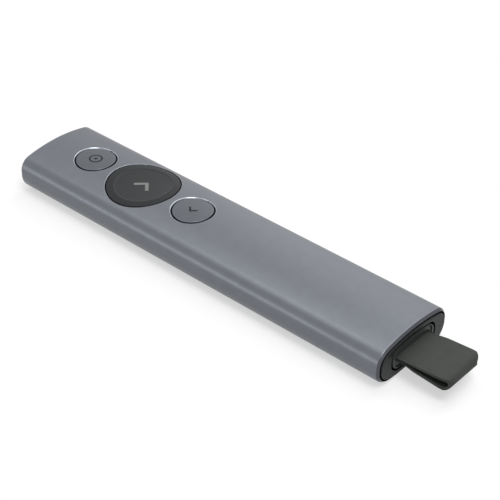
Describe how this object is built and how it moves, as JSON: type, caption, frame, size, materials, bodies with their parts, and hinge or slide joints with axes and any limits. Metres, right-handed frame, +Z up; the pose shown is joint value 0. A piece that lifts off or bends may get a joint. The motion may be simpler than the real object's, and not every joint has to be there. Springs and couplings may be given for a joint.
{
  "type": "wireless presentation clicker",
  "caption": "Slim bar-shaped presentation remote: crowned aluminium sleeve, round press keys along its top, and a pull-out wireless receiver with a strap loop docked in its tail.",
  "frame": {"origin": "centre of the flat strip under the housing that it rests on", "axes": "+Y along the housing towards its front end, the end with the pointer key; +Z up out of the crowned top with the keys; +X to the right when looking along +Y. The receiver docks in the -Y end."},
  "size_m": [0.0282, 0.1468, 0.0121],
  "materials": {
    "sleeve_aluminium": "bead blasted and anodised slate grey, satin",
    "key_aluminium": "anodised slate grey with a fine lathe-turned face",
    "key_plastic": "satin charcoal plastic with a dished face",
    "cap_plastic": "fine matte charcoal plastic",
    "receiver_plastic": "fine matte charcoal plastic",
    "strap_rubber": "soft matte dark grey rubber",
    "inner_plastic": "moulded black plastic",
    "board_laminate": "green laminate",
    "plated_steel": "plated sheet steel",
    "contact_metal": "plated contacts",
    "plunger_plastic": "hard plastic",
    "cell_pouch": "foil pouch",
    "foam": "black foam pad",
    "antenna_ceramic": "ceramic"
  },
  "bodies": {
    "housing": {"shell": "sleeve_aluminium", "front_cap": "cap_plastic", "tail_cap": "cap_plastic", "dock_sleeve": "cap_plastic", "chassis_tray": "inner_plastic", "main_board": "board_laminate", "board_screws": "plated_steel", "frame_screws": "plated_steel", "key_frame": "inner_plastic", "battery_pad": "foam", "battery_cell": "cell_pouch", "battery_tabs": "contact_metal", "vibration_motor": "plated_steel", "radio_shield": "plated_steel", "antenna_chip": "antenna_ceramic", "charge_port_shell": "plated_steel", "charge_port_tongue": "inner_plastic", "pointer_switch": "inner_plastic", "next_switch": "inner_plastic", "back_switch": "inner_plastic"},
    "pointer_button": {"pointer_cap": "key_aluminium", "pointer_carrier": "inner_plastic", "pointer_plunger": "plunger_plastic"},
    "next_button": {"next_cap": "key_plastic", "next_carrier": "inner_plastic", "next_plunger": "plunger_plastic"},
    "back_button": {"back_cap": "key_aluminium", "back_carrier": "inner_plastic", "back_plunger": "plunger_plastic"},
    "receiver": {"receiver_body": "receiver_plastic", "receiver_board": "board_laminate", "plug_shell": "plated_steel", "plug_tongue": "inner_plastic", "plug_contacts": "contact_metal", "strap_pin": "plated_steel", "strap_loop": "strap_rubber"}
  },
  "joints": [
    {"name": "pointer_press", "type": "slide", "parent": "housing", "child": "pointer_button", "axis": [0, 0, -1], "range_m": [0, 0.0004], "stiffness_N_per_m": 1500, "springref_m": -0.0006},
    {"name": "next_press", "type": "slide", "parent": "housing", "child": "next_button", "axis": [0, 0, -1], "range_m": [0, 0.0004], "stiffness_N_per_m": 1500, "springref_m": -0.0006},
    {"name": "back_press", "type": "slide", "parent": "housing", "child": "back_button", "axis": [0, 0, -1], "range_m": [0, 0.0004], "stiffness_N_per_m": 1500, "springref_m": -0.0006},
    {"name": "receiver_pull", "type": "slide", "parent": "housing", "child": "receiver", "axis": [0, -1, 0], "range_m": [0, 0.03]}
  ]
}
